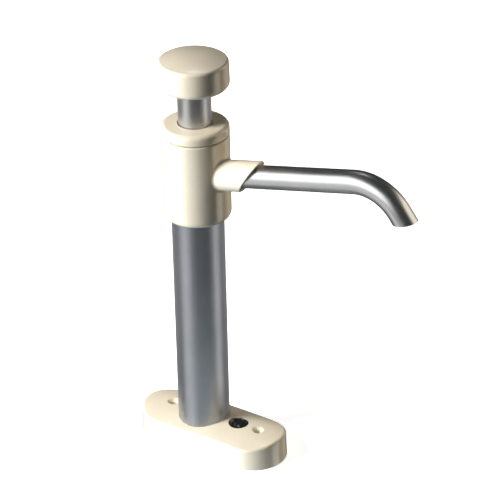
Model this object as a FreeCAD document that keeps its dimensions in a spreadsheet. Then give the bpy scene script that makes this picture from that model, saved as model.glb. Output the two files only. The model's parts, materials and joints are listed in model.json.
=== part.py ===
import FreeCAD, Part
import math
import os

import Sketcher

# Vertical hand pump for a galley counter, in millimetres.
#
# The frame: +Z is up along the barrel, the origin is on the barrel's axis at the
# underside of the base, and +X runs along the base's long axis, the way the spout
# points at rest. The object is symmetric about the XZ plane.
#
# A palm knob pushes a hollow plunger down through a gland cap. The piston at the
# plunger's lower end has a disc valve, and a second disc valve sits in the foot of
# the barrel. Water leaves the barrel through cross ports into the ring gallery of
# a head that swivels round the barrel and carries the spout.

DRIVING_DIMENSIONS = [
    ("base_length", 120.0, "base, end to end"),
    ("base_width", 48.8, "base, across at the underside"),
    ("base_height", 22.3, "base, along its middle ridge"),
    ("base_back", 51.5, "barrel axis to the base's back end"),
    ("base_draft", 1.5, "draft of the base's sides, degrees"),
    ("crown_drop", 5.5, "how far the crowned top falls at its sides"),
    ("crown_fall", 2.2, "how far the crowned top falls at its two ends"),
    ("base_edge_round", 2.2, "rounding of the base's top edge"),
    ("fixing_spacing", 76.0, "between the two counter screws"),
    ("fixing_middle", 10.1, "barrel axis to the middle of the two counter screws"),
    ("fixing_hole", 4.8, "diameter for the counter screws"),
    ("fixing_sink", 11.0, "diameter of the countersink at the top"),
    ("badge_offset", 30.8, "barrel axis to the badge's centre"),
    ("badge_diameter", 14.6, "badge"),
    ("badge_floor", 19.4, "height of the badge recess's floor"),
    ("badge_thickness", 1.9, "badge"),
    ("badge_rim", 1.0, "width of the badge's raised rim"),
    ("badge_dome", 3.9, "radius of the domed middle of the badge"),
    ("badge_relief", 0.6, "height of the badge's rim and dome"),
    ("inlet_diameter", 15.0, "inlet bore in the underside"),
    ("gasket_circle", 20.4, "middle diameter of the inlet's gasket"),
    ("gasket_width", 2.0, "inlet's gasket"),
    ("gasket_thickness", 1.0, "inlet's gasket"),
    ("barrel_outer", 38.0, "barrel tube, outside diameter"),
    ("barrel_inner", 34.0, "barrel tube, bore"),
    ("barrel_foot", 10.0, "height of the socket floor that the barrel stands on"),
    ("barrel_top", 256.4, "height of the barrel's upper end"),
    ("socket_oring", 1.5, "section diameter of the O-ring round the barrel's foot"),
    ("socket_groove", 14.0, "height of that O-ring's groove"),
    ("swivel_gap", 0.06, "radial running clearance of the head on the barrel"),
    ("slide_gap", 0.05, "radial running clearance of the plunger"),
    ("fit_gap", 0.03, "radial room between fixed pieces"),
    ("seat_gap", 0.02, "room under a valve disc when it is shut"),
    ("end_gap", 0.1, "room between pieces stacked end to end"),
    ("groove_room", 0.4, "how much wider an O-ring's groove is than the ring"),
    ("loose_gap", 0.3, "radial room round a piece that touches nothing"),
    ("head_outer", 48.8, "head and cap, outside diameter"),
    ("head_bottom", 187.6, "height of the head's lower edge"),
    ("head_top", 252.4, "height of the head's upper edge"),
    ("head_round", 4.5, "rounding of the head's lower edge"),
    ("seam_round", 0.8, "rounding of the head's and the cap's edges where they meet"),
    ("seat_bore", 41.8, "diameter of the head's lower recess and O-ring grooves"),
    ("washer_level", 192.0, "height of the thrust washer's underside"),
    ("washer_thickness", 1.0, "thrust washer"),
    ("circlip_outer", 40.8, "snap ring under the thrust washer, outside diameter"),
    ("circlip_thickness", 1.3, "snap ring under the thrust washer"),
    ("circlip_groove", 0.7, "depth of the snap ring's groove in the barrel"),
    ("gallery_low", 216.0, "height of the ring gallery's floor"),
    ("gallery_high", 233.0, "height of the ring gallery's roof"),
    ("gallery_bore", 43.6, "diameter of the ring gallery"),
    ("port_diameter", 7.0, "cross ports in the barrel"),
    ("lower_groove", 198.5, "height of the lower O-ring groove"),
    ("upper_groove", 240.5, "height of the upper O-ring groove"),
    ("groove_width", 2.8, "width of the head's O-ring grooves"),
    ("head_oring", 1.8, "section diameter of the head's O-rings"),
    ("spout_height", 220.3, "height where the spout's axis meets the barrel's"),
    ("spout_rise", 12.4, "upward slope of the spout's arm, degrees"),
    ("stub_diameter", 22.6, "socket on the head that holds the spout"),
    ("stub_reach", 48.9, "barrel axis to the middle of the stub's slanted mouth"),
    ("stub_slant", 43.5, "slant of the stub's mouth from square, degrees"),
    ("stub_blend", 2.4, "fillet between stub and head"),
    ("stub_lip", 0.7, "rounding of the stub's mouth"),
    ("stub_root", 5.0, "barrel axis to where the stub's round form starts"),
    ("passage_root", 15.0, "barrel axis to where the passage in the stub starts"),
    ("spout_outer", 17.0, "spout tube, outside diameter"),
    ("spout_inner", 14.0, "spout tube, bore"),
    ("spout_start", 30.0, "barrel axis to the spout tube's inner end"),
    ("arm_end", 134.1, "barrel axis to the start of the spout's bend"),
    ("bend_radius", 36.4, "spout's bend, at the tube's axis"),
    ("bend_angle", 65.8, "spout's bend, degrees"),
    ("tail_length", 7.3, "straight end of the spout, at the tube's axis"),
    ("mouth_slant", 23.3, "slant of the spout's mouth from square, degrees"),
    ("spout_oring", 1.5, "section diameter of the spout's O-ring"),
    ("spout_groove", 33.0, "barrel axis to the spout's O-ring groove"),
    ("cap_bottom", 253.3, "height of the cap's lower edge"),
    ("cap_top", 261.5, "height of the cap's highest ring, round the plunger"),
    ("cap_round", 3.4, "rounding of the cap's upper edge"),
    ("cap_slope", 0.5, "rise of the cap's top from its rounding to the hole"),
    ("cap_hole_round", 0.6, "rounding of the cap's hole"),
    ("cap_hole", 24.6, "hole round the plunger in the cap's top"),
    ("gland_bore", 29.2, "bore of the cap's spigot"),
    ("gland_low", 234.5, "height of the spigot's lower end"),
    ("gland_groove", 240.0, "height of the gland O-ring's groove"),
    ("gland_oring", 1.2, "section diameter of the gland's O-ring"),
    ("bush_length", 15.0, "guide bush of the plunger"),
    ("seal_level", 250.3, "height of the plunger seal's underside"),
    ("seal_height", 5.0, "plunger seal"),
    ("wiper_level", 255.6, "height of the wiper's underside"),
    ("wiper_height", 2.9, "wiper ring"),
    ("wiper_lip", 1.5, "height of the wiper's sloped lip"),
    ("shaft_outer", 24.0, "plunger tube, outside diameter"),
    ("shaft_inner", 20.0, "plunger tube, bore"),
    ("knob_bottom", 289.2, "height of the knob's underside"),
    ("knob_skirt", 293.2, "height where the knob's lower rounding ends"),
    ("knob_shoulder", 307.2, "height where the knob's upper rounding starts"),
    ("knob_rim", 309.9, "height where the knob's upper rounding ends"),
    ("knob_crown", 312.3, "height of the knob's middle"),
    ("knob_low_diameter", 50.8, "knob, widest, at the skirt"),
    ("knob_high_diameter", 50.2, "knob, at the shoulder"),
    ("knob_socket", 12.0, "depth of the plunger tube in the knob"),
    ("knob_wall", 4.3, "knob's crown above the stud's hole"),
    ("stud_diameter", 6.0, "stud between knob and plunger, and the piston's bolt"),
    ("stud_level", 291.2, "height of the knob stud's lower end"),
    ("stud_top", 307.5, "height of the knob stud's upper end"),
    ("piston_diameter", 33.4, "piston"),
    ("piston_level", 61.0, "height of the piston's underside at rest"),
    ("piston_height", 9.0, "piston"),
    ("piston_seat", 28.6, "diameter of the seat of the piston's seal"),
    ("piston_land", 2.0, "height of the piston's rims above and below its seal"),
    ("piston_port_circle", 18.4, "circle of the holes through the piston"),
    ("piston_disc_diameter", 26.0, "piston's valve disc"),
    ("piston_valve_thickness", 1.5, "piston's valve disc"),
    ("piston_valve_lift", 2.5, "how far the piston's valve disc rises"),
    ("end_plug_flange", 2.0, "flange between the plunger tube and the piston's neck"),
    ("end_plug_depth", 16.0, "plug's depth in the plunger tube"),
    ("end_plug_thread", 2.0, "blind end of the plug above the bolt's hole"),
    ("neck_diameter", 10.0, "neck of the plug, and the piston's bolt head"),
    ("bolt_head_height", 4.0, "piston's bolt head"),
    ("bolt_socket", 4.0, "round socket in the bolt's head, across and twice its depth"),
    ("valve_top", 22.0, "height of the foot valve's seat"),
    ("foot_groove", 18.2, "height of the foot valve's O-ring groove"),
    ("foot_oring", 1.4, "section diameter of the foot valve's O-ring"),
    ("foot_chamber", 17.2, "diameter of the hollow under the foot valve"),
    ("foot_chamber_height", 2.0, "hollow under the foot valve"),
    ("foot_port_circle", 12.4, "circle of the holes through the foot valve"),
    ("stem_diameter", 4.0, "pin that guides the foot valve's disc"),
    ("stem_level", 14.0, "height of the floor of the pin's hole"),
    ("stem_head", 9.0, "head of the pin, across"),
    ("stem_head_height", 2.0, "head of the pin"),
    ("foot_disc_diameter", 19.0, "foot valve's disc"),
    ("foot_disc_thickness", 2.0, "foot valve's disc"),
    ("foot_disc_lift", 2.5, "how far the foot valve's disc rises"),
    ("valve_port", 4.5, "diameter of the holes through both valves"),
    ("foot_screw_circle", 26.4, "circle of the screws that hold the foot valve"),
    ("foot_screw_diameter", 3.0, "screws that hold the foot valve"),
    ("foot_screw_low", 0.15, "height of the screws' heads above the underside"),
    ("foot_screw_top", 15.5, "height of the screws' points"),
    ("foot_screw_socket", 1.1, "depth of the sockets in the screws' heads"),
]

PORT_COUNT = 6
FOOT_SCREW_COUNT = 3
PAST = 1.0  # how far a cutting profile runs past the face that it cuts through
WELL_PAST = 25.0  # the same, where any length clear of the material will do
BUSH = "Dims.gland_bore/2 - Dims.fit_gap"  # outside radius of everything in the gland

doc = FreeCAD.newDocument("hand_well_pump")
dims = doc.addObject("Spreadsheet::Sheet", "Dims")
for row, (alias, value, meaning) in enumerate(DRIVING_DIMENSIONS, start=1):
    dims.set(f"A{row}", meaning)
    dims.set(f"B{row}", str(value))
    dims.setAlias(f"B{row}", alias)
doc.recompute()

sub_parts = []


def number(text):
    """Value of an expression that uses the sheet's cells."""
    return float(dims.evalExpression(text))


# ---------------------------------------------------------------- sketch helpers


def new_body(name):
    body = doc.addObject("PartDesign::Body", name)
    body.Label = name
    sub_parts.append(body)
    return body


def origin_feature(body, role):
    for feature in body.Origin.OriginFeatures:
        if feature.Role == role:
            return feature
    raise ValueError(f"{body.Label} has no {role}")


def new_sketch(body, name, role="XZ_Plane"):
    sketch = body.newObject("Sketcher::SketchObject", name)
    sketch.AttachmentSupport = (origin_feature(body, role), [""])
    sketch.MapMode = "FlatFace"
    return sketch


def bind(sketch, constraint, text):
    index = sketch.addConstraint(constraint)
    sketch.setExpression(f"Constraints[{index}]", text)


def pin_point(sketch, curve, end, across, up):
    """Ties one end of a curve to a place given by two expressions."""
    for kind, axis, text in (("DistanceX", -2, across), ("DistanceY", -1, up)):
        if text == "0":
            sketch.addConstraint(Sketcher.Constraint("PointOnObject", curve, end, axis))
        else:
            bind(sketch, Sketcher.Constraint(kind, -1, 1, curve, end, number(text)), text)


def round_side(start, end, radius):
    """Arc from start anticlockwise to end, less than half a turn."""
    chord = end - start
    reach = math.sqrt(radius ** 2 - (chord.Length / 2) ** 2)
    inward = FreeCAD.Vector(-chord.y, chord.x, 0).normalize()
    centre = (start + end) / 2 + inward * reach
    angles = [math.atan2(p.y - centre.y, p.x - centre.x) for p in (start, end)]
    round_line = Part.Circle(centre, FreeCAD.Vector(0, 0, 1), radius)
    return Part.ArcOfCircle(round_line, angles[0], angles[1])


def outline(sketch, corners):
    """Closed loop through corners, each (across, up), (across, up, radius) or
    (across, up, radius, "clockwise").

    A radius makes the side to the next corner an arc, anticlockwise unless it says
    otherwise.
    """
    places = [FreeCAD.Vector(number(c[0]), number(c[1]), 0) for c in corners]
    sides = []
    for i, corner in enumerate(corners):
        start, end = places[i], places[(i + 1) % len(corners)]
        ends = (1, 2)
        if len(corner) > 2:
            radius = number(corner[2])
            if corner[-1] == "clockwise":
                start, end, ends = end, start, (2, 1)
            curve = sketch.addGeometry(round_side(start, end, radius), False)
            bind(sketch, Sketcher.Constraint("Radius", curve, radius), corner[2])
        else:
            curve = sketch.addGeometry(Part.LineSegment(start, end), False)
        sides.append((curve, *ends))
    for i, (curve, first, last) in enumerate(sides):
        after, after_first, _ = sides[(i + 1) % len(sides)]
        sketch.addConstraint(Sketcher.Constraint("Coincident", curve, last, after, after_first))
        pin_point(sketch, curve, first, corners[i][0], corners[i][1])


def axis_line(sketch, start, end):
    """Construction line to turn a profile round; it is the sketch's Axis0."""
    places = [FreeCAD.Vector(number(x), number(z), 0) for x, z in (start, end)]
    line = sketch.addGeometry(Part.LineSegment(*places), True)
    pin_point(sketch, line, 1, *start)
    pin_point(sketch, line, 2, *end)


def circle(sketch, across, up, radius):
    centre = FreeCAD.Vector(number(across), number(up), 0)
    shape = Part.Circle(centre, FreeCAD.Vector(0, 0, 1), number(radius))
    curve = sketch.addGeometry(shape, False)
    bind(sketch, Sketcher.Constraint("Radius", curve, number(radius)), radius)
    pin_point(sketch, curve, 3, across, up)


# --------------------------------------------------------------- feature helpers


def turn(body, name, corners, kind="Revolution", degrees=360.0):
    """Turns a profile of (radius, height) corners round Z, to add or to cut."""
    sketch = new_sketch(body, name + "_profile")
    outline(sketch, corners)
    doc.recompute()
    feature = body.newObject("PartDesign::" + kind, name)
    feature.Profile = sketch
    feature.ReferenceAxis = (sketch, ["V_Axis"])
    feature.Angle = degrees
    doc.recompute()
    return feature


def turn_about(body, name, corners, start, end, kind):
    """Turns a profile round the line from start to end in the XZ plane."""
    sketch = new_sketch(body, name + "_profile")
    axis_line(sketch, start, end)
    outline(sketch, corners)
    doc.recompute()
    feature = body.newObject("PartDesign::" + kind, name)
    feature.Profile = sketch
    feature.ReferenceAxis = (sketch, ["Axis0"])
    feature.Angle = 360.0
    doc.recompute()
    return feature


def turned_part(name, corners, degrees=360.0):
    body = new_body(name)
    turn(body, name + "_turned", corners, degrees=degrees)
    return body


def cut_through(body, name, sketch, one_way=False):
    """Cuts a closed outline right through, both ways from the sketch or one way."""
    doc.recompute()
    feature = body.newObject("PartDesign::Pocket", name)
    feature.Profile = sketch
    feature.Type = "ThroughAll"
    feature.SideType = "One side" if one_way else "Symmetric"
    doc.recompute()
    return feature


def ring_pattern(body, name, original, count):
    pattern = body.newObject("PartDesign::PolarPattern", name)
    pattern.Originals = [original]
    pattern.Axis = (origin_feature(body, "Z_Axis"), [""])
    pattern.Angle = 360.0
    pattern.Occurrences = count
    body.Tip = pattern
    doc.recompute()
    return pattern


def drilled_ring(body, name, circle_radius, hole_radius, low, high, count):
    """Ring of round holes parallel to Z, from one height to another."""
    profile = [
        (circle_radius, low),
        (f"{circle_radius} + {hole_radius}", low),
        (f"{circle_radius} + {hole_radius}", high),
        (circle_radius, high),
    ]
    start, end = (circle_radius, low), (circle_radius, high)
    hole = turn_about(body, name, profile, start, end, "Groove")
    return ring_pattern(body, name + "_ring", hole, count)


def o_ring(name, ring_radius, section, height=None):
    """O-ring as a torus; ring_radius is the radius of its inside edge."""
    ring = doc.addObject("Part::Torus", name)
    ring.Label = name
    ring.setExpression("Radius1", f"{ring_radius} + {section}/2")
    ring.setExpression("Radius2", f"{section}/2")
    if height is not None:
        ring.setExpression("Placement.Base.z", height)
    sub_parts.append(ring)
    return ring


def on_arm(along, aside="0"):
    """Place in the XZ plane, measured along the spout's arm and square to it."""
    slope = "Dims.spout_rise*1deg"
    across = f"({along})*cos({slope}) - ({aside})*sin({slope})"
    up = f"Dims.spout_height + ({along})*sin({slope}) + ({aside})*cos({slope})"
    return across, up


# ------------------------------------------------------------------ fixed pieces


def stadium(sketch, back, front, radius):
    """Two round ends joined by straight sides; the ends' centres lie on X."""
    upward = FreeCAD.Vector(0, 0, 1)
    places = [number(front), number(back)]
    width = number(radius)
    ends, sides = [], []
    for centre, first in zip(places, (-math.pi / 2, math.pi / 2)):
        round_line = Part.Circle(FreeCAD.Vector(centre, 0, 0), upward, width)
        arc = Part.ArcOfCircle(round_line, first, first + math.pi)
        ends.append(sketch.addGeometry(arc, False))
    for x_from, x_to, y in ((places[0], places[1], width), (places[1], places[0], -width)):
        start, end = FreeCAD.Vector(x_from, y, 0), FreeCAD.Vector(x_to, y, 0)
        sides.append(sketch.addGeometry(Part.LineSegment(start, end), False))
    loop = [ends[0], sides[0], ends[1], sides[1]]
    for curve, after in zip(loop, loop[1:] + loop[:1]):
        sketch.addConstraint(Sketcher.Constraint("Tangent", curve, 2, after, 1))
    bind(sketch, Sketcher.Constraint("Radius", ends[0], width), radius)
    pin_point(sketch, ends[0], 3, front, "0")
    pin_point(sketch, ends[1], 3, back, "0")


def edges_above(shape, height):
    """Names of the edges that lie wholly above a height."""
    numbered = enumerate(shape.Edges, start=1)
    return [f"Edge{i}" for i, edge in numbered if edge.BoundBox.ZMin > height]


def gasket_radii():
    """Inside and outside radius of the recess for the inlet's gasket."""
    middle, half_width = "Dims.gasket_circle/2", "Dims.gasket_width/2"
    return f"{middle} - {half_width}", f"{middle} + {half_width}"


def base_plate():
    """Crowned moulding with the barrel's socket, the inlet and two screw holes."""
    body = new_body("base_plate")
    half, drop = "Dims.base_width/2", "Dims.crown_drop"

    plan = new_sketch(body, "base_plan", "XY_Plane")
    stadium(
        plan,
        back="Dims.base_width/2 - Dims.base_back",
        front="Dims.base_length - Dims.base_back - Dims.base_width/2",
        radius=half,
    )
    doc.recompute()
    block = body.newObject("PartDesign::Pad", "base_block")
    block.Profile = plan
    block.setExpression("Length", "Dims.base_height")
    block.setExpression("TaperAngle", "-Dims.base_draft")
    doc.recompute()

    # The top is crowned both ways: an arc across the base's middle, turned round a
    # line far below that runs across the base.
    crown = new_sketch(body, "crown_profile", "YZ_Plane")
    crown.setExpression("AttachmentOffset.Base.z", "Dims.base_length/2 - Dims.base_back")
    reach, fall = "(Dims.base_length/2)", "Dims.crown_fall"
    axis_height = f"Dims.base_height - ({reach}^2 + {fall}^2)/(2*{fall})"
    axis_line(crown, (f"-{half}", axis_height), (half, axis_height))
    side_height = f"Dims.base_height - {drop}"
    outline(crown, [
        (f"-{half}", side_height, f"(({half})^2 + {drop}^2)/(2*{drop})", "clockwise"),
        (half, side_height),
        (half, f"Dims.base_height + {WELL_PAST}"),
        (f"-{half}", f"Dims.base_height + {WELL_PAST}"),
    ])
    doc.recompute()
    crown_cut = body.newObject("PartDesign::Groove", "crown_cut")
    crown_cut.Profile = crown
    crown_cut.ReferenceAxis = (crown, ["Axis0"])
    crown_cut.Midplane = True
    crown_cut.setExpression("Angle", f"4*asin({reach}/(Dims.base_height - ({axis_height})))")
    doc.recompute()

    top_edges = edges_above(body.Shape, number("Dims.base_height/2"))
    rounding = body.newObject("PartDesign::Fillet", "top_rounding")
    rounding.Base = (rounding.BaseFeature, top_edges)
    rounding.setExpression("Radius", "Dims.base_edge_round")
    doc.recompute()

    inlet, socket = "Dims.inlet_diameter/2", "Dims.barrel_outer/2 + Dims.fit_gap"
    inside, outside = gasket_radii()
    gasket_floor = "Dims.barrel_foot - Dims.gasket_thickness"
    groove_top = "Dims.socket_groove + Dims.socket_oring + Dims.groove_room"
    turn(body, "barrel_socket", [
        ("0", f"-{PAST}"),
        (inlet, f"-{PAST}"),
        (inlet, "Dims.barrel_foot"),
        (inside, "Dims.barrel_foot"),
        (inside, gasket_floor),
        (outside, gasket_floor),
        (outside, "Dims.barrel_foot"),
        (socket, "Dims.barrel_foot"),
        (socket, "Dims.socket_groove"),
        (f"{socket} + Dims.socket_oring", "Dims.socket_groove"),
        (f"{socket} + Dims.socket_oring", groove_top),
        (socket, groove_top),
        (socket, f"Dims.base_height + {PAST}"),
        ("0", f"Dims.base_height + {PAST}"),
    ], kind="Groove")

    hole, sink = "Dims.fixing_hole/2", "Dims.fixing_sink/2"
    place = "Dims.fixing_middle - Dims.fixing_spacing/2"
    top = f"Dims.base_height + {PAST}"
    first_hole = turn_about(body, "fixing_hole_back", [
        (place, f"-{PAST}"),
        (f"{place} + {hole}", f"-{PAST}"),
        (f"{place} + {hole}", f"Dims.base_height - {sink} + {hole}"),
        (f"{place} + {sink}", "Dims.base_height"),
        (f"{place} + {sink}", top),
        (place, top),
    ], (place, f"-{PAST}"), (place, top), "Groove")
    pair = body.newObject("PartDesign::LinearPattern", "fixing_hole_pair")
    pair.Originals = [first_hole]
    pair.Direction = (origin_feature(body, "X_Axis"), [""])
    pair.setExpression("Length", "Dims.fixing_spacing")
    pair.Occurrences = 2
    body.Tip = pair
    doc.recompute()

    recess = "Dims.badge_diameter/2 + Dims.loose_gap"
    turn_about(body, "badge_recess", [
        ("Dims.badge_offset", "Dims.badge_floor"),
        (f"Dims.badge_offset + {recess}", "Dims.badge_floor"),
        (f"Dims.badge_offset + {recess}", top),
        ("Dims.badge_offset", top),
    ], ("Dims.badge_offset", "Dims.badge_floor"), ("Dims.badge_offset", top), "Groove")

    where = "Dims.foot_screw_circle/2"
    shank = "(Dims.foot_screw_diameter/2 + Dims.end_gap)"
    screw_hole = turn_about(body, "foot_screw_hole", [
        (where, f"-{PAST}"),
        (f"{where} + 2*{shank}", f"-{PAST}"),
        (f"{where} + 2*{shank}", "0"),
        (f"{where} + {shank}", shank),
        (f"{where} + {shank}", f"Dims.barrel_foot + {PAST}"),
        (where, f"Dims.barrel_foot + {PAST}"),
    ], (where, f"-{PAST}"), (where, f"Dims.barrel_foot + {PAST}"), "Groove")
    ring_pattern(body, "foot_screw_holes", screw_hole, FOOT_SCREW_COUNT)


def badge_disc():
    """Plain disc let into the base, with a raised rim and a domed middle; no mark."""
    radius, low = "Dims.badge_diameter/2", "Dims.badge_floor"
    high = "Dims.badge_floor + Dims.badge_thickness"
    relief, dome = "Dims.badge_relief", "Dims.badge_dome"
    body = turned_part("badge_disc", [
        ("0", low),
        (radius, low),
        (radius, f"{high} - {relief}/2"),
        (f"{radius} - {relief}/2", high),
        (f"{radius} - Dims.badge_rim", high),
        (f"{radius} - Dims.badge_rim - {relief}", f"{high} - {relief}"),
        (dome, f"{high} - {relief}", f"({dome}^2 + {relief}^2)/(2*{relief})"),
        ("0", high),
    ])
    body.setExpression("Placement.Base.x", "Dims.badge_offset")


def circlip_span():
    """Heights of the snap ring's underside and top."""
    high = "Dims.washer_level - Dims.end_gap"
    return f"{high} - Dims.circlip_thickness", high


def barrel():
    """Aluminium tube from the base's socket up into the cap."""
    inner, outer = "Dims.barrel_inner/2", "Dims.barrel_outer/2"
    low, high = circlip_span()
    ring_low, ring_high = f"{low} - Dims.end_gap/2", f"{high} + Dims.end_gap/2"
    ring_floor = f"{outer} - Dims.circlip_groove"
    body = turned_part("barrel", [
        (inner, "Dims.barrel_foot"),
        (outer, "Dims.barrel_foot"),
        (outer, ring_low),
        (ring_floor, ring_low),
        (ring_floor, ring_high),
        (outer, ring_high),
        (outer, "Dims.barrel_top"),
        (inner, "Dims.barrel_top"),
    ])
    mouth = new_sketch(body, "port_circle", "YZ_Plane")
    circle(mouth, "0", "(Dims.gallery_low + Dims.gallery_high)/2", "Dims.port_diameter/2")
    port = cut_through(body, "cross_port", mouth, one_way=True)
    ring_pattern(body, "cross_ports", port, PORT_COUNT)


def foot_valve_body():
    """Plug in the barrel's foot, with a ring of inlet holes under the valve disc."""
    outer, stem = "Dims.barrel_inner/2 - Dims.fit_gap", "Dims.stem_diameter/2"
    groove = f"{outer} - Dims.foot_oring"
    groove_top = "Dims.foot_groove + Dims.foot_oring + Dims.groove_room"
    chamber, chamber_top = "Dims.foot_chamber/2", "Dims.barrel_foot + Dims.foot_chamber_height"
    body = turned_part("foot_valve_body", [
        ("0", chamber_top),
        (chamber, chamber_top),
        (chamber, "Dims.barrel_foot"),
        (outer, "Dims.barrel_foot"),
        (outer, "Dims.foot_groove"),
        (groove, "Dims.foot_groove"),
        (groove, groove_top),
        (outer, groove_top),
        (outer, "Dims.valve_top"),
        (stem, "Dims.valve_top"),
        (stem, "Dims.stem_level"),
        ("0", "Dims.stem_level"),
    ])
    drilled_ring(
        body, "inlet_port", circle_radius="Dims.foot_port_circle/2",
        hole_radius="Dims.valve_port/2", low="Dims.barrel_foot + Dims.foot_chamber_height/2",
        high=f"Dims.valve_top + {PAST}", count=PORT_COUNT,
    )
    drilled_ring(
        body, "screw_socket", circle_radius="Dims.foot_screw_circle/2",
        hole_radius="Dims.foot_screw_diameter/2", low=f"Dims.barrel_foot - {PAST}",
        high=f"Dims.foot_screw_top + {PAST}", count=FOOT_SCREW_COUNT,
    )


def foot_valve_stem():
    """Mushroom pin that guides the foot valve's disc and stops its lift."""
    low, head = "Dims.stem_level + 2*Dims.end_gap", "Dims.stem_head/2"
    pin = "Dims.stem_diameter/2 - Dims.fit_gap"
    shut = "Dims.valve_top + 2*Dims.seat_gap + Dims.foot_disc_thickness"
    shoulder, half_high = f"{shut} + Dims.foot_disc_lift", "Dims.stem_head_height/2"
    turned_part("foot_valve_stem", [
        ("0", low),
        (pin, low),
        (pin, shoulder),
        (head, shoulder),
        (head, f"{shoulder} + {half_high}"),
        (f"{head} - {half_high}", f"{shoulder} + 2*{half_high}"),
        ("0", f"{shoulder} + 2*{half_high}"),
    ])


def foot_valve_disc():
    """Rubber disc that lies over the inlet holes and rises on its stem."""
    inside, outside = "Dims.stem_diameter/2 + Dims.loose_gap", "Dims.foot_disc_diameter/2"
    seat = "Dims.valve_top + Dims.seat_gap"
    ring("foot_valve_disc", inside, outside, seat, "Dims.foot_disc_thickness")


def foot_screws():
    """Countersunk screws from under the base into the foot valve's body."""
    body = new_body("foot_screws")
    where, shank = "Dims.foot_screw_circle/2", "Dims.foot_screw_diameter/2"
    low, high = "Dims.foot_screw_low", "Dims.foot_screw_top"
    shaft, socket_top = f"{where} + {shank} - Dims.seat_gap", f"{low} + Dims.foot_screw_socket"
    socket = f"{where} + {shank}/2"
    screw = turn_about(body, "foot_screw", [
        (where, socket_top),
        (socket, socket_top),
        (socket, low),
        (f"{where} + 2*{shank}", low),
        (shaft, f"{low} + {shank}"),
        (shaft, high),
        (where, high),
    ], (where, low), (where, high), "Revolution")
    ring_pattern(body, "foot_screw_ring", screw, FOOT_SCREW_COUNT)


def ring(name, inside, outside, low, thickness):
    """Plain washer, bush or gasket."""
    high = f"{low} + {thickness}"
    return turned_part(name, [(inside, low), (outside, low), (outside, high), (inside, high)])


def gland_cap():
    """Cap fixed on the barrel; its spigot holds the plunger's bush and seals."""
    outer, skirt = "Dims.head_outer/2", "Dims.barrel_outer/2 + Dims.fit_gap"
    spigot, bore = "Dims.barrel_inner/2 - Dims.fit_gap", "Dims.gland_bore/2"
    groove, hole = f"{spigot} - Dims.gland_oring", "Dims.cap_hole/2"
    groove_top = "Dims.gland_groove + Dims.gland_oring + Dims.groove_room"
    seat, edge = "Dims.barrel_top + Dims.end_gap", "Dims.cap_top - Dims.cap_slope"
    wiper_roof = "Dims.wiper_level + Dims.wiper_height + Dims.end_gap"
    turned_part("gland_cap", [
        (bore, "Dims.gland_low"),
        (spigot, "Dims.gland_low"),
        (spigot, "Dims.gland_groove"),
        (groove, "Dims.gland_groove"),
        (groove, groove_top),
        (spigot, groove_top),
        (spigot, seat),
        (skirt, seat),
        (skirt, "Dims.cap_bottom"),
        (f"{outer} - Dims.seam_round", "Dims.cap_bottom", "Dims.seam_round"),
        (outer, "Dims.cap_bottom + Dims.seam_round"),
        (outer, f"{edge} - Dims.cap_round", "Dims.cap_round"),
        (f"{outer} - Dims.cap_round", edge),
        (f"{hole} + Dims.cap_hole_round", "Dims.cap_top", "Dims.cap_hole_round"),
        (hole, "Dims.cap_top - Dims.cap_hole_round"),
        (hole, wiper_roof),
        (bore, wiper_roof),
    ])


def gland_pieces():
    """Guide bush, seal and wiper, in that order up the cap's spigot."""
    inside, lip = "Dims.shaft_outer/2 + Dims.slide_gap", "Dims.loose_gap"
    bush_low = "Dims.gland_low + Dims.loose_gap"
    ring("shaft_bush", inside, BUSH, bush_low, "Dims.bush_length")
    low, high = "Dims.seal_level", "Dims.seal_level + Dims.seal_height"
    turned_part("shaft_seal", [
        (inside, low),
        (f"{inside} + 2*{lip}", low),
        (f"({inside} + {BUSH})/2", f"{low} + Dims.seal_height/2"),
        (f"{BUSH} - 2*{lip}", low),
        (BUSH, low),
        (BUSH, high),
        (inside, high),
    ])
    low, high = "Dims.wiper_level", "Dims.wiper_level + Dims.wiper_height"
    turned_part("wiper_ring", [
        (inside, low),
        (BUSH, low),
        (BUSH, f"{high} - Dims.wiper_lip"),
        (f"{inside} + {lip}", high),
        (inside, high),
    ])


def head_stop():
    """Snap ring on the barrel and the washer that the head turns on."""
    low, high = circlip_span()
    inside, outside = "Dims.barrel_outer/2 - Dims.circlip_groove", "Dims.circlip_outer/2"
    turned_part("head_circlip", [
        (f"{inside} + Dims.slide_gap", low),
        (outside, low),
        (outside, high),
        (f"{inside} + Dims.slide_gap", high),
    ], degrees=330.0)
    inside, outside = "Dims.barrel_outer/2 + Dims.end_gap", "Dims.seat_bore/2 - Dims.loose_gap"
    ring("head_thrust_washer", inside, outside, "Dims.washer_level", "Dims.washer_thickness")


# --------------------------------------------------------------- swivelling head


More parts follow.
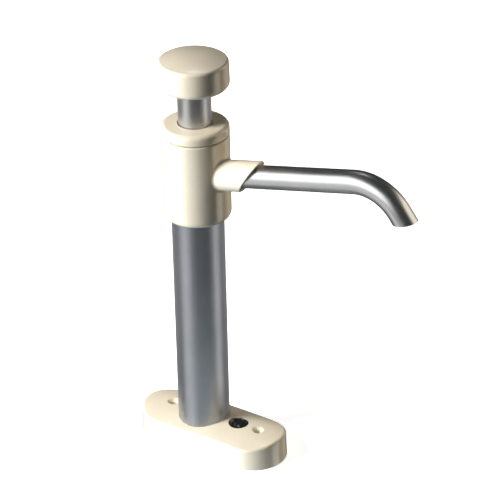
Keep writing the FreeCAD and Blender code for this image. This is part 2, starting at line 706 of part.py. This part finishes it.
def spout_head():
    """Sleeve that turns on the barrel, with a rising stub for the spout."""
    body = new_body("spout_head")
    outer, rounding = "Dims.head_outer/2", "Dims.head_round"
    turn(body, "head_sleeve", [
        ("0", "Dims.head_bottom"),
        (f"{outer} - {rounding}", "Dims.head_bottom", rounding),
        (outer, f"Dims.head_bottom + {rounding}"),
        (outer, "Dims.head_top - Dims.seam_round", "Dims.seam_round"),
        (f"{outer} - Dims.seam_round", "Dims.head_top"),
        ("0", "Dims.head_top"),
    ])
    stub, root, lean = "Dims.stub_diameter/2", "Dims.stub_root", "tan(Dims.stub_slant*1deg)"
    far = f"Dims.stub_reach + {stub}*{lean} + {PAST}"
    turn_about(
        body, "spout_stub",
        [on_arm(root), on_arm(far), on_arm(far, stub), on_arm(root, stub)],
        on_arm(root), on_arm(far), "Revolution",
    )
    joint = [
        f"Edge{i}" for i, edge in enumerate(body.Shape.Edges, start=1)
        if edge.Curve.TypeId not in ("Part::GeomLine", "Part::GeomCircle")
    ]
    blend = body.newObject("PartDesign::Fillet", "stub_fillet")
    blend.Base = (blend.BaseFeature, joint)
    blend.setExpression("Radius", "Dims.stub_blend")
    doc.recompute()

    # The stub's mouth leans forward, so its upper lip reaches further out.
    mouth = new_sketch(body, "stub_mouth_profile")
    outline(mouth, [
        on_arm(f"Dims.stub_reach - {WELL_PAST}*{lean}", f"-{WELL_PAST}"),
        on_arm(f"Dims.stub_reach + 2*{WELL_PAST}", f"-{WELL_PAST}"),
        on_arm(f"Dims.stub_reach + 2*{WELL_PAST}", f"{WELL_PAST}"),
        on_arm(f"Dims.stub_reach + {WELL_PAST}*{lean}", f"{WELL_PAST}"),
    ])
    cut_through(body, "stub_mouth", mouth)
    lip = [
        f"Edge{i}" for i, edge in enumerate(body.Shape.Edges, start=1)
        if edge.Curve.TypeId == "Part::GeomEllipse"
    ]
    rounding = body.newObject("PartDesign::Fillet", "stub_lip_rounding")
    rounding.Base = (rounding.BaseFeature, lip)
    rounding.setExpression("Radius", "Dims.stub_lip")
    doc.recompute()

    bore, seat = "Dims.barrel_outer/2 + Dims.swivel_gap", "Dims.seat_bore/2"
    seat_top = "Dims.washer_level + Dims.washer_thickness + Dims.slide_gap"
    profile = [
        ("0", f"Dims.head_bottom - {PAST}"),
        (seat, f"Dims.head_bottom - {PAST}"),
        (seat, seat_top),
        (bore, seat_top),
    ]
    rings = [
        ("Dims.lower_groove", "Dims.lower_groove + Dims.groove_width", seat),
        ("Dims.gallery_low", "Dims.gallery_high", "Dims.gallery_bore/2"),
        ("Dims.upper_groove", "Dims.upper_groove + Dims.groove_width", seat),
    ]
    for low, high, reach in rings:
        profile += [(bore, low), (reach, low), (reach, high), (bore, high)]
    profile += [(bore, f"Dims.head_top + {PAST}"), ("0", f"Dims.head_top + {PAST}")]
    turn(body, "head_bore", profile, kind="Groove")

    tube = "Dims.spout_outer/2 + Dims.fit_gap"
    passage, near = "Dims.spout_inner/2", "Dims.passage_root"
    tube_end = "Dims.spout_start - 2*Dims.end_gap"
    groove = "Dims.spout_groove"
    groove_end = "Dims.spout_groove + Dims.spout_oring + Dims.groove_room"
    turn_about(body, "spout_socket", [
        on_arm(near),
        on_arm(far),
        on_arm(far, tube),
        on_arm(groove_end, tube),
        on_arm(groove_end, f"{tube} + Dims.spout_oring"),
        on_arm(groove, f"{tube} + Dims.spout_oring"),
        on_arm(groove, tube),
        on_arm(tube_end, tube),
        on_arm(tube_end, passage),
        on_arm(near, passage),
    ], on_arm(near), on_arm(far), "Groove")


def spout_tube():
    """Bent outlet tube, drawn along its own arm and then leaned into place."""
    body = new_body("spout_tube")
    section = new_sketch(body, "spout_section", "YZ_Plane")
    circle(section, "0", "0", "Dims.spout_outer/2")
    circle(section, "0", "0", "Dims.spout_inner/2")

    bend, turned = "Dims.bend_radius", "Dims.bend_angle*1deg"
    straight = "Dims.arm_end - Dims.spout_start"
    allowance = "(Dims.tail_length + Dims.spout_outer)"
    bend_end = (f"{straight} + {bend}*sin({turned})", f"-{bend}*(1 - cos({turned}))")
    tail_end = (
        f"{bend_end[0]} + {allowance}*cos({turned})",
        f"{bend_end[1]} - {allowance}*sin({turned})",
    )
    route = new_sketch(body, "spout_route")
    points = [("0", "0"), (straight, "0"), bend_end, tail_end]
    places = [FreeCAD.Vector(number(x), number(z), 0) for x, z in points]
    arm = route.addGeometry(Part.LineSegment(places[0], places[1]), False)
    arc = route.addGeometry(round_side(places[2], places[1], number(bend)), False)
    tail = route.addGeometry(Part.LineSegment(places[2], places[3]), False)
    route.addConstraint(Sketcher.Constraint("Coincident", arm, 1, -1, 1))
    route.addConstraint(Sketcher.Constraint("PointOnObject", arm, 2, -1))
    bind(route, Sketcher.Constraint("DistanceX", -1, 1, arm, 2, number(straight)), straight)
    route.addConstraint(Sketcher.Constraint("Tangent", arm, 2, arc, 2))
    route.addConstraint(Sketcher.Constraint("Tangent", arc, 1, tail, 1))
    bind(route, Sketcher.Constraint("Radius", arc, number(bend)), bend)
    pin_point(route, tail, 2, *tail_end)
    doc.recompute()

    pipe = body.newObject("PartDesign::AdditivePipe", "spout_sweep")
    pipe.Profile = section
    pipe.Spine = (route, ["Edge1", "Edge2", "Edge3"])
    doc.recompute()

    # The tail is cut on a slant that leaves its outer side longer.
    along = "Dims.tail_length"
    middle = (
        f"{bend_end[0]} + {along}*cos({turned})",
        f"{bend_end[1]} - {along}*sin({turned})",
    )
    slanted = "(90deg - Dims.bend_angle*1deg - Dims.mouth_slant*1deg)"
    outward = (f"cos({slanted})", f"sin({slanted})")
    away = (f"sin({slanted})", f"-cos({slanted})")

    def place(side, depth):
        return tuple(
            f"{middle[i]} + {side}*({outward[i]}) + {depth}*({away[i]})" for i in range(2)
        )

    mouth = new_sketch(body, "spout_mouth_profile")
    outline(mouth, [
        place(-WELL_PAST, 0),
        place(-WELL_PAST, WELL_PAST),
        place(WELL_PAST, WELL_PAST),
        place(WELL_PAST, 0),
    ])
    cut_through(body, "spout_mouth", mouth)

    across, up = on_arm("Dims.spout_start")
    body.Placement = FreeCAD.Placement(
        FreeCAD.Vector(number(across), 0, number(up)),
        FreeCAD.Rotation(FreeCAD.Vector(0, 1, 0), -number("Dims.spout_rise")),
    )
    body.setExpression("Placement.Base.x", across)
    body.setExpression("Placement.Base.z", up)
    body.setExpression("Placement.Rotation.Angle", "-Dims.spout_rise*1deg")


def head_seals():
    """O-rings between head and barrel, and the one round the spout's tube."""
    inside, section = "Dims.barrel_outer/2 + Dims.slide_gap", "Dims.head_oring"
    for name, groove in (("lower", "Dims.lower_groove"), ("upper", "Dims.upper_groove")):
        o_ring(f"head_oring_{name}", inside, section, f"{groove} + Dims.groove_width/2")
    leaned = o_ring("spout_oring", "Dims.spout_outer/2 + Dims.seat_gap", "Dims.spout_oring")
    middle = "Dims.spout_groove + (Dims.spout_oring + Dims.groove_room)/2"
    across, up = on_arm(middle)
    turn_to_arm = "90 - Dims.spout_rise"
    leaned.Placement = FreeCAD.Placement(
        FreeCAD.Vector(number(across), 0, number(up)),
        FreeCAD.Rotation(FreeCAD.Vector(0, 1, 0), number(turn_to_arm)),
    )
    leaned.setExpression("Placement.Base.x", across)
    leaned.setExpression("Placement.Base.z", up)
    leaned.setExpression("Placement.Rotation.Angle", f"({turn_to_arm})*1deg")


# ------------------------------------------------------------- plunger and piston


def knob():
    """Palm knob with a domed top and a blind socket for the plunger tube."""
    low, high = "Dims.knob_low_diameter/2", "Dims.knob_high_diameter/2"
    skirt_round = "(Dims.knob_skirt - Dims.knob_bottom)"
    rim_round = "(Dims.knob_rim - Dims.knob_shoulder)"
    rim, rise = f"({high} - {rim_round})", "(Dims.knob_crown - Dims.knob_rim)"
    socket = "Dims.shaft_outer/2 + Dims.fit_gap"
    socket_top = "Dims.knob_bottom + Dims.knob_socket"
    stud, stud_top = "Dims.stud_diameter/2 + Dims.fit_gap", "Dims.knob_crown - Dims.knob_wall"
    turned_part("knob", [
        (socket, "Dims.knob_bottom"),
        (f"{low} - {skirt_round}", "Dims.knob_bottom", skirt_round),
        (low, "Dims.knob_skirt"),
        (high, "Dims.knob_shoulder", rim_round),
        (rim, "Dims.knob_rim", f"({rim}^2 + {rise}^2)/(2*{rise})"),
        ("0", "Dims.knob_crown"),
        ("0", stud_top),
        (stud, stud_top),
        (stud, socket_top),
        (socket, socket_top),
    ])


def rod(name, radius, low, high):
    return turned_part(name, [("0", low), (radius, low), (radius, high), ("0", high)])


def plunger():
    """Tube, its two plugs and the stud that holds the knob."""
    outer, inner = "Dims.shaft_outer/2", "Dims.shaft_inner/2"
    plug, stud = f"{inner} - Dims.fit_gap", "Dims.stud_diameter/2"
    piston_top, shoulder = piston_span()
    tube_low = f"{shoulder} + Dims.end_plug_flange"
    tube_top = "Dims.knob_bottom + Dims.knob_socket - Dims.end_gap"
    ring("plunger_shaft", inner, outer, tube_low, f"({tube_top}) - ({tube_low})")
    ring("shaft_top_plug", stud, plug, f"{tube_top} - Dims.knob_socket", "Dims.knob_socket")
    rod("knob_stud", f"{stud} - Dims.fit_gap", "Dims.stud_level", "Dims.stud_top")

    neck, plug_top = "Dims.neck_diameter/2", f"{tube_low} + Dims.end_plug_depth"
    thread_end = f"{plug_top} - Dims.end_plug_thread"
    turned_part("shaft_end_plug", [
        (stud, piston_top),
        (neck, piston_top),
        (neck, shoulder),
        (outer, shoulder),
        (outer, tube_low),
        (plug, tube_low),
        (plug, plug_top),
        ("0", plug_top),
        ("0", thread_end),
        (stud, thread_end),
    ])


def piston_span():
    """Heights of the piston's top and of the shoulder that its valve disc rises to."""
    top = "Dims.piston_level + Dims.piston_height"
    room = "2*Dims.seat_gap + Dims.piston_valve_thickness + Dims.piston_valve_lift"
    return top, f"{top} + {room}"


def piston():
    """Piston with a ring of holes, its seal, its bolt and its valve disc."""
    outer, centre = "Dims.piston_diameter/2", "Dims.stud_diameter/2 + Dims.fit_gap"
    low = "Dims.piston_level"
    high, shoulder = piston_span()
    seal_low, seal_high = f"{low} + Dims.piston_land", f"{high} - Dims.piston_land"
    seal_seat = "Dims.piston_seat/2"
    body = turned_part("piston", [
        (centre, low),
        (outer, low),
        (outer, seal_low),
        (seal_seat, seal_low),
        (seal_seat, seal_high),
        (outer, seal_high),
        (outer, high),
        (centre, high),
    ])
    drilled_ring(
        body, "piston_port", circle_radius="Dims.piston_port_circle/2",
        hole_radius="Dims.valve_port/2", low=f"{low} - {PAST}", high=f"{high} + {PAST}",
        count=PORT_COUNT,
    )

    # The seal is a cup that opens upwards, between a lip on the barrel's wall and
    # one on the piston.
    wall, lip = "Dims.barrel_inner/2 - Dims.slide_gap", "Dims.loose_gap"
    inside = f"{seal_seat} + Dims.fit_gap"
    foot, rim = f"{seal_low} + Dims.slide_gap", f"{seal_high} - Dims.slide_gap"
    turned_part("piston_seal", [
        (inside, foot),
        (f"{wall} - {lip}", foot),
        (wall, f"{foot} + {lip}"),
        (wall, f"{rim} - {lip}"),
        (f"{wall} - {lip}", rim),
        (f"({inside} + {wall})/2", f"({foot} + {rim})/2"),
        (f"{inside} + {lip}", rim),
        (inside, rim),
    ])

    bolt, head = "Dims.stud_diameter/2 - Dims.fit_gap", "Dims.neck_diameter/2"
    socket, head_low = "Dims.bolt_socket/2", f"{low} - Dims.bolt_head_height"
    plug_top = f"{shoulder} + Dims.end_plug_flange + Dims.end_plug_depth"
    bolt_top = f"{plug_top} - Dims.end_plug_thread - {PAST}"
    turned_part("piston_bolt", [
        ("0", f"{head_low} + {socket}"),
        (socket, f"{head_low} + {socket}"),
        (socket, head_low),
        (head, head_low),
        (head, low),
        (bolt, low),
        (bolt, bolt_top),
        ("0", bolt_top),
    ])
    inside, outside = f"{head} + Dims.loose_gap", "Dims.piston_disc_diameter/2"
    seat = f"{high} + Dims.seat_gap"
    ring("piston_valve_disc", inside, outside, seat, "Dims.piston_valve_thickness")


def small_seals():
    """O-rings of the barrel's two ends and the flat gasket under its foot."""
    wall = "Dims.barrel_inner/2 - Dims.fit_gap"
    for label, ring_name in (("foot_valve_oring", "foot"), ("gland_oring", "gland")):
        section, groove = f"Dims.{ring_name}_oring", f"Dims.{ring_name}_groove"
        middle = f"{groove} + ({section} + Dims.groove_room)/2"
        o_ring(label, f"{wall} - {section}", section, middle)
    inside, section = "Dims.barrel_outer/2 + Dims.seat_gap", "Dims.socket_oring"
    middle = f"Dims.socket_groove + ({section} + Dims.groove_room)/2"
    o_ring("barrel_foot_oring", inside, section, middle)
    inside, outside = gasket_radii()
    low = "Dims.barrel_foot - Dims.gasket_thickness"
    ring(
        "inlet_gasket", f"{inside} + Dims.end_gap", f"{outside} - Dims.end_gap",
        low, "Dims.gasket_thickness",
    )


# ------------------------------------------------------------------------ output


def failed_objects():
    """Labels of objects that FreeCAD left failed, and cuts that removed nothing."""
    wrong = [o.Label for o in doc.Objects if {"Invalid", "Error"} & set(o.State)]
    for feature in doc.Objects:
        if feature.TypeId in ("PartDesign::Pocket", "PartDesign::Groove"):
            if feature.Shape.Volume >= feature.BaseFeature.Shape.Volume - 0.01:
                wrong.append(feature.Label)
    for part in sub_parts:
        if part.Shape.isNull() or not part.Shape.isValid() or not part.Shape.Solids:
            wrong.append(part.Label)
    return wrong


def main():
    for make in (
        base_plate, badge_disc, barrel, foot_valve_body, foot_valve_stem, foot_valve_disc,
        foot_screws, small_seals, head_stop, gland_cap, gland_pieces,
        spout_head, spout_tube, head_seals, knob, plunger, piston,
    ):
        make()
    doc.recompute()
    wrong = failed_objects()
    if wrong:
        raise RuntimeError("not built: " + ", ".join(wrong))
    os.makedirs("parts", exist_ok=True)
    for part in sub_parts:
        part.Shape.exportStep(f"parts/{part.Label}.step")
        print(f"{part.Label:20s} {len(part.Shape.Solids)} solid {part.Shape.Volume:10.1f} mm3")


main()
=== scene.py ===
import json
import math

import bpy
from mathutils import Matrix, Vector


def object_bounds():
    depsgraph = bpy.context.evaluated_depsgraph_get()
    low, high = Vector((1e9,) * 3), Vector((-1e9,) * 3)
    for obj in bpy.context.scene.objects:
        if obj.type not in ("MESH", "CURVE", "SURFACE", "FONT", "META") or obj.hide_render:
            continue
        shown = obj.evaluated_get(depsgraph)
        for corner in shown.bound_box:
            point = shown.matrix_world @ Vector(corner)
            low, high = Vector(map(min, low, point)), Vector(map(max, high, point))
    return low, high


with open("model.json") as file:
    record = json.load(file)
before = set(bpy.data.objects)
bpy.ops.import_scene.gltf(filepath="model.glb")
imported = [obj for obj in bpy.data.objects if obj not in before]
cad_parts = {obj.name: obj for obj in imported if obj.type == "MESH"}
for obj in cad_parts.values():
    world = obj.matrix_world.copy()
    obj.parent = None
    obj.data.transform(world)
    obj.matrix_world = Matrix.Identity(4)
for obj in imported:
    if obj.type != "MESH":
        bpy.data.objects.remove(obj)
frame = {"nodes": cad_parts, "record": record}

# The looks of a galley hand pump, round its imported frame. Everything is in metres,
# in the frame's own axes: +Z up the barrel, +X the way the spout points at rest.
# Azimuths are in degrees round from -Y towards +X, elevations in degrees above the
# horizon, and both say where a camera or light stands, seen from the pump.

cad_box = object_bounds()
box_middle = (cad_box[0] + cad_box[1]) / 2
pump_height = cad_box[1].z

MM = 0.001
WHITE = (1.0, 1.0, 1.0)


def bearing(azimuth, elevation):
    """Unit vector from the pump towards that side."""
    turn, rise = math.radians(azimuth), math.radians(elevation)
    return Vector((
        math.sin(turn) * math.cos(rise), -math.cos(turn) * math.cos(rise), math.sin(rise)
    ))


# ------------------------------------------------------------------------ camera

LENS = 201.6
SENSOR = 36.0
VIEW_AZIMUTH = 34.2
VIEW_ELEVATION = 28.7
VIEW_ROLL = -1.28  # so that the uprights lean a little to the left
VIEW_DISTANCE = 2.02
# From the middle of the pump to the middle of the picture.
VIEW_OFFSET = Vector((-34.45, 20.55, 1.50)) * MM


def make_camera():
    data = bpy.data.cameras.new("view")
    data.lens = LENS
    data.sensor_width = SENSOR
    data.dof.use_dof = False
    camera = bpy.data.objects.new("view", data)
    bpy.context.scene.collection.objects.link(camera)
    toward = bearing(VIEW_AZIMUTH, VIEW_ELEVATION)
    place = box_middle + VIEW_OFFSET + VIEW_DISTANCE * toward
    turn = Matrix.Rotation(math.radians(VIEW_AZIMUTH), 4, "Z")
    tilt = Matrix.Rotation(math.radians(90.0 - VIEW_ELEVATION), 4, "X")
    roll = Matrix.Rotation(math.radians(VIEW_ROLL), 4, "Z")
    camera.matrix_world = Matrix.Translation(place) @ turn @ tilt @ roll
    bpy.context.scene.camera = camera


# ---------------------------------------------------------------- node shorthand


class Shader:
    """A material's node tree with short ways to add and join nodes."""

    def __init__(self, name):
        self.material = bpy.data.materials.new(name)
        self.material.use_nodes = True
        self.nodes = self.material.node_tree.nodes
        self.links = self.material.node_tree.links
        self.surface = self.nodes["Principled BSDF"]

    def add(self, kind, **settings):
        node = self.nodes.new("ShaderNode" + kind)
        for key, value in settings.items():
            setattr(node, key, value)
        return node

    def join(self, source, target):
        self.links.new(source, target)

    def set(self, **sockets):
        """Sets the surface's sockets, with _ for a space in a socket's name."""
        for key, value in sockets.items():
            self.surface.inputs[key.replace("_", " ")].default_value = value

    def place(self, stretch):
        """Object coordinates, stretched."""
        where = self.add("TexCoord")
        scale = self.add("Mapping")
        scale.inputs["Scale"].default_value = stretch
        self.join(where.outputs["Object"], scale.inputs["Vector"])
        return scale.outputs["Vector"]

    def noise(self, scale, detail=3.0, rough=0.5, stretch=(1, 1, 1)):
        """Noise with that many cells to the metre, about 0.5 on average."""
        texture = self.add("TexNoise")
        texture.inputs["Scale"].default_value = scale
        texture.inputs["Detail"].default_value = detail
        texture.inputs["Roughness"].default_value = rough
        self.join(self.place(stretch), texture.inputs["Vector"])
        return texture.outputs["Fac"]

    def span(self, source, low, high, to_low=0.0, to_high=1.0):
        """Maps a value from one span to another, clamped."""
        node = self.add("MapRange")
        for key, value in zip(
            ("From Min", "From Max", "To Min", "To Max"), (low, high, to_low, to_high)
        ):
            node.inputs[key].default_value = value
        self.join(source, node.inputs["Value"])
        return node.outputs["Result"]

    def mix(self, factor, first, second):
        """Colour between two colours, each a tuple or a socket."""
        node = self.add("Mix", data_type="RGBA")
        self.join(factor, node.inputs["Factor"])
        for socket, value in ((node.inputs[6], first), (node.inputs[7], second)):
            if isinstance(value, tuple):
                socket.default_value = (*value, 1.0)
            else:
                self.join(value, socket)
        return node.outputs[2]

    def sum(self, first, second, weight):
        """first + second * weight."""
        node = self.add("Math", operation="MULTIPLY_ADD")
        self.join(second, node.inputs[0])
        node.inputs[1].default_value = weight
        self.join(first, node.inputs[2])
        return node.outputs["Value"]

    def color(self, source):
        self.join(source, self.surface.inputs["Base Color"])

    def roughness(self, source):
        self.join(source, self.surface.inputs["Roughness"])

    def bump(self, height, depth):
        node = self.add("Bump")
        node.inputs["Distance"].default_value = depth
        self.join(height, node.inputs["Height"])
        self.join(node.outputs["Normal"], self.surface.inputs["Normal"])


# --------------------------------------------------------------------- materials

IVORY_DARK = (0.770, 0.684, 0.524)
IVORY_LIGHT = (0.812, 0.729, 0.574)
IVORY_SPECK = (0.690, 0.600, 0.432)
IVORY_BLEED = (1.0, 0.75, 0.45)  # how far red, green and blue spread inside it
GLOSS_BLACK = (0.012, 0.011, 0.012)
BLACK_DUST = (0.045, 0.042, 0.040)
RUBBER_BLACK = (0.016, 0.014, 0.013)
RUBBER_BLOOM = (0.040, 0.036, 0.032)
NATURAL_DARK = (0.66, 0.65, 0.60)
NATURAL_LIGHT = (0.74, 0.73, 0.69)
STEEL_DARK = (0.50, 0.50, 0.51)
STEEL_LIGHT = (0.62, 0.61, 0.60)

# Each satin metal's dark and light tone, roughness, and how its draw lines run.
BARREL_METAL = {
    "dark": (0.430, 0.446, 0.478), "light": (0.490, 0.500, 0.527), "rough": 0.44,
    "lines": (2600.0, 2600.0, 9.0), "depth": 0.006 * MM,
}
ROD_METAL = {
    "dark": (0.54, 0.535, 0.535), "light": (0.61, 0.605, 0.60), "rough": 0.40,
    "lines": (40.0, 40.0, 3600.0), "depth": 0.003 * MM,
}
SPOUT_METAL = {
    "dark": (0.54, 0.54, 0.545), "light": (0.61, 0.605, 0.60), "rough": 0.34,
    "lines": (2400.0, 2400.0, 2400.0), "depth": 0.002 * MM,
}
GRAIN_SHADE = 0.82  # how dark a satin metal's grain is, against its dark tone


def ivory_plastic():
    """Glossy moulded ivory: faint flow marks, orange peel and handling scuffs."""
    shader = Shader("ivory_plastic")
    shader.set(IOR=1.49, Coat_Weight=0.5, Coat_Roughness=0.07)
    shader.set(Subsurface_Weight=0.06, Subsurface_Radius=IVORY_BLEED, Subsurface_Scale=1.5 * MM)
    flow = shader.span(shader.noise(38.0, stretch=(1, 1, 0.4)), 0.35, 0.68)
    fine = shader.span(shader.noise(900.0, 2.0), 0.3, 0.7, 0.0, 0.22)
    shader.color(shader.mix(fine, shader.mix(flow, IVORY_DARK, IVORY_LIGHT), IVORY_SPECK))
    smears = shader.noise(120.0, 5.0, 0.62, stretch=(1, 1, 0.35))
    shader.roughness(shader.span(smears, 0.38, 0.72, 0.15, 0.27))
    peel = shader.noise(420.0, 2.0)
    shader.bump(shader.sum(peel, shader.noise(3200.0, 2.0), 0.25), 0.012 * MM)
    return shader.material


def satin_metal(name, dark, light, rough, lines, depth):
    """Satin anodised metal: soft blotches, fine grain and faint draw lines."""
    shader = Shader(name)
    shader.set(Metallic=1.0)
    blotch = shader.span(shader.noise(45.0, 4.0, 0.6), 0.32, 0.70)
    grain = shader.noise(5200.0, 2.0, 0.6)
    tone = shader.mix(blotch, dark, light)
    shade = tuple(GRAIN_SHADE * channel for channel in dark)
    shader.color(shader.mix(shader.span(grain, 0.35, 0.75, 0.0, 0.30), tone, shade))
    drawn = shader.noise(1.0, 3.0, 0.55, stretch=lines)
    shader.roughness(shader.span(drawn, 0.30, 0.70, rough - 0.05, rough + 0.07))
    shader.bump(shader.sum(grain, drawn, 1.5), depth)
    return shader.material


def gloss_black():
    """Polished black plastic with a little dust and swirl."""
    shader = Shader("gloss_black")
    shader.set(IOR=1.5, Coat_Weight=0.6, Coat_Roughness=0.04)
    dust = shader.span(shader.noise(1500.0, 4.0, 0.7), 0.60, 0.78)
    shader.color(shader.mix(dust, GLOSS_BLACK, BLACK_DUST))
    shader.roughness(shader.span(shader.noise(260.0, 4.0), 0.35, 0.7, 0.08, 0.22))
    shader.bump(shader.noise(700.0, 2.0), 0.01 * MM)
    return shader.material


def moulded_rubber():
    """Moulded black rubber with a bloomed, slightly grainy face."""
    shader = Shader("moulded_rubber")
    shader.set(IOR=1.5)
    bloom = shader.span(shader.noise(300.0, 4.0, 0.6), 0.35, 0.75)
    shader.color(shader.mix(bloom, RUBBER_BLACK, RUBBER_BLOOM))
    shader.roughness(shader.span(shader.noise(900.0), 0.3, 0.7, 0.45, 0.68))
    shader.bump(shader.noise(2600.0, 3.0, 0.6), 0.03 * MM)
    return shader.material


def natural_plastic():
    """Natural engineering plastic, turned, with fine tool rings."""
    shader = Shader("natural_plastic")
    shader.set(IOR=1.48, Subsurface_Weight=0.1, Subsurface_Scale=1.0 * MM)
    cloud = shader.span(shader.noise(150.0), 0.3, 0.7)
    shader.color(shader.mix(cloud, NATURAL_DARK, NATURAL_LIGHT))
    rings = shader.noise(1.0, 2.0, stretch=(60.0, 60.0, 5200.0))
    shader.roughness(shader.span(rings, 0.3, 0.7, 0.36, 0.52))
    shader.bump(rings, 0.02 * MM)
    return shader.material


def turned_steel():
    """Turned stainless steel, with fine tool rings."""
    shader = Shader("turned_steel")
    shader.set(Metallic=1.0)
    cloud = shader.span(shader.noise(220.0), 0.3, 0.7)
    shader.color(shader.mix(cloud, STEEL_DARK, STEEL_LIGHT))
    rings = shader.noise(1.0, 2.0, stretch=(80.0, 80.0, 4800.0))
    shader.roughness(shader.span(rings, 0.3, 0.7, 0.24, 0.38))
    shader.bump(rings, 0.01 * MM)
    return shader.material


def dress_frame():
    """Gives every CAD node the material of its slot, and the spout one of its own."""
    materials = {
        "cream_plastic": ivory_plastic(),
        "barrel_aluminium": satin_metal("barrel_anodised", **BARREL_METAL),
        "bright_aluminium": satin_metal("rod_satin", **ROD_METAL),
        "black_plastic": gloss_black(),
        "rubber": moulded_rubber(),
        "valve_plastic": natural_plastic(),
        "steel": turned_steel(),
    }
    slots = {row["node"]: row["material_slot"] for row in frame["record"]["subparts"]}
    for name, piece in frame["nodes"].items():
        piece.data.materials.clear()
        piece.data.materials.append(materials[slots[name]])
    spout = frame["nodes"]["spout_tube"]
    spout.data.materials[0] = satin_metal("spout_satin", **SPOUT_METAL)


# ------------------------------------------------------------------------- floor

FLOOR_GAP = 0.2 * MM  # between the pump's underside and the floor
FLOOR_GLOW = 0.77
COVE_RADIUS = 7.0
COVE_RISE = 5.0
COVE_SIDES = 96
# From the flat floor's edge up to the rim, as fractions of the radius and the rise.
COVE_PROFILE = ((0.5, 0.0), (0.6, 0.0), (0.75, 0.05), (0.88, 0.2), (0.96, 0.5), (1.0, 1.0))


def cove_mesh():
    """A round floor whose edge curves up all round, as a dish."""
    turns = [2 * math.pi * side / COVE_SIDES for side in range(COVE_SIDES)]
    points = [
        (
            COVE_RADIUS * out * math.cos(turn),
            COVE_RADIUS * out * math.sin(turn),
            COVE_RISE * up - FLOOR_GAP,
        )
        for out, up in COVE_PROFILE
        for turn in turns
    ]
    faces = [tuple(range(COVE_SIDES))]
    for low in range(0, len(points) - COVE_SIDES, COVE_SIDES):
        high = low + COVE_SIDES
        for side in range(COVE_SIDES):
            after = (side + 1) % COVE_SIDES
            faces.append((low + after, low + side, high + side, high + after))
    mesh = bpy.data.meshes.new("cove")
    mesh.from_pydata(points, [], faces)
    for face in mesh.polygons:
        face.use_smooth = True
    return mesh


def make_cove():
    """A pale floor that curves up into the backdrop all round.

    It is seen and takes shadows, but throws no light back at the pump: the lights
    alone shape it, as on a table far from any wall.
    """
    cove = bpy.data.objects.new("cove", cove_mesh())
    bpy.context.scene.collection.objects.link(cove)
    shader = Shader("pale_cove")
    shader.set(Roughness=0.9, Emission_Strength=FLOOR_GLOW, Emission_Color=(*WHITE, 1.0))
    tone = shader.span(shader.noise(3.0, 2.0), 0.3, 0.7)
    shader.color(shader.mix(tone, (0.88, 0.88, 0.88), (0.92, 0.92, 0.92)))
    cove.data.materials.append(shader.material)
    cove.visible_diffuse = False
    cove.visible_glossy = False
    cove.visible_transmission = False
    cove.visible_shadow = False


# ------------------------------------------------------------------------ lights

WORLD_COLOR = (0.80, 0.91, 1.0, 1.0)
WORLD_GLOW = 0.040
LIGHT_AIM = Vector((0.0, 0.0, pump_height / 2))  # on the barrel's axis

# name, azimuth, elevation, distance, (width, height), radiance, colour

# Lamps light the plastic, and don't show as highlights.
LAMPS = (
    ("key", -36.0, 29.0, 1.05, (0.45, 0.45), 34.5, (0.99, 0.985, 0.99)),
    ("bounce", -42.0, -28.0, 0.9, (0.8, 0.5), 6.2, (0.62, 0.81, 1.0)),
    ("fill", 146.0, 3.0, 1.1, (0.45, 0.6), 7.4, (1.0, 0.89, 0.71)),
    ("back", 214.0, 4.0, 1.3, (0.8, 0.8), 2.9, WHITE),
    ("floor_light", 45.0, -70.0, 0.22, (0.15, 0.15), 1.0, (0.92, 0.94, 1.0)),
)

# Reflectors show only as highlights: the bands of light on the metal and the gloss.
REFLECTORS = (
    ("front_shine", -36.0, 24.0, 1.0, (1.85, 0.93), 2.5, WHITE),
    ("left_shine", -28.0, -28.0, 1.0, (0.70, 0.95), 0.92, WHITE),
    ("under_shine", -30.0, -78.0, 1.0, (1.4, 1.2), 0.08, WHITE),
    ("middle_shine", 45.0, -28.0, 1.0, (0.6, 0.7), 0.10, (0.78, 0.94, 1.0)),
    ("floor_shine", 42.0, -62.0, 0.19, (0.20, 0.12), 0.33, (0.84, 0.96, 1.0)),
    ("right_shine", 114.0, -26.0, 1.0, (0.40, 0.85), 1.35, (1.0, 0.97, 0.97)),
    ("side_shine", 128.0, 24.0, 1.0, (0.95, 0.5), 1.8, (1.0, 0.89, 0.72)),
    ("top_shine", 214.0, 58.0, 1.0, (0.18, 0.14), 3.4, WHITE),
    ("back_left", -100.0, -14.0, 1.0, (0.55, 0.9), 0.4, WHITE),
    ("back_right", 168.0, -14.0, 1.0, (0.55, 0.9), 0.4, WHITE),
)


def softbox(name, azimuth, elevation, distance, size, radiance, color):
    """Area light that faces the pump's middle from one side, unseen by the camera."""
    data = bpy.data.lights.new(name, "AREA")
    data.shape = "RECTANGLE"
    data.size, data.size_y = size
    data.energy = radiance * math.pi * data.size * data.size_y
    data.color = color
    light = bpy.data.objects.new(name, data)
    bpy.context.scene.collection.objects.link(light)
    way = bearing(azimuth, elevation)
    light.location = LIGHT_AIM + way * distance
    light.rotation_euler = way.to_track_quat("Z", "Y").to_euler()
    light.visible_camera = False
    return light


def make_lights():
    world = bpy.data.worlds.new("room")
    bpy.context.scene.world = world
    world.use_nodes = True
    backdrop = world.node_tree.nodes["Background"]
    backdrop.inputs["Color"].default_value = WORLD_COLOR
    backdrop.inputs["Strength"].default_value = WORLD_GLOW
    for row in LAMPS:
        softbox(*row).visible_glossy = False
    for row in REFLECTORS:
        softbox(*row).visible_diffuse = False
    view = bpy.context.scene.view_settings
    view.view_transform = "Standard"
    view.look = "None"
    view.exposure = 0.0


# --------------------------------------------------------------------- the scene

make_camera()
make_cove()
make_lights()
dress_frame()
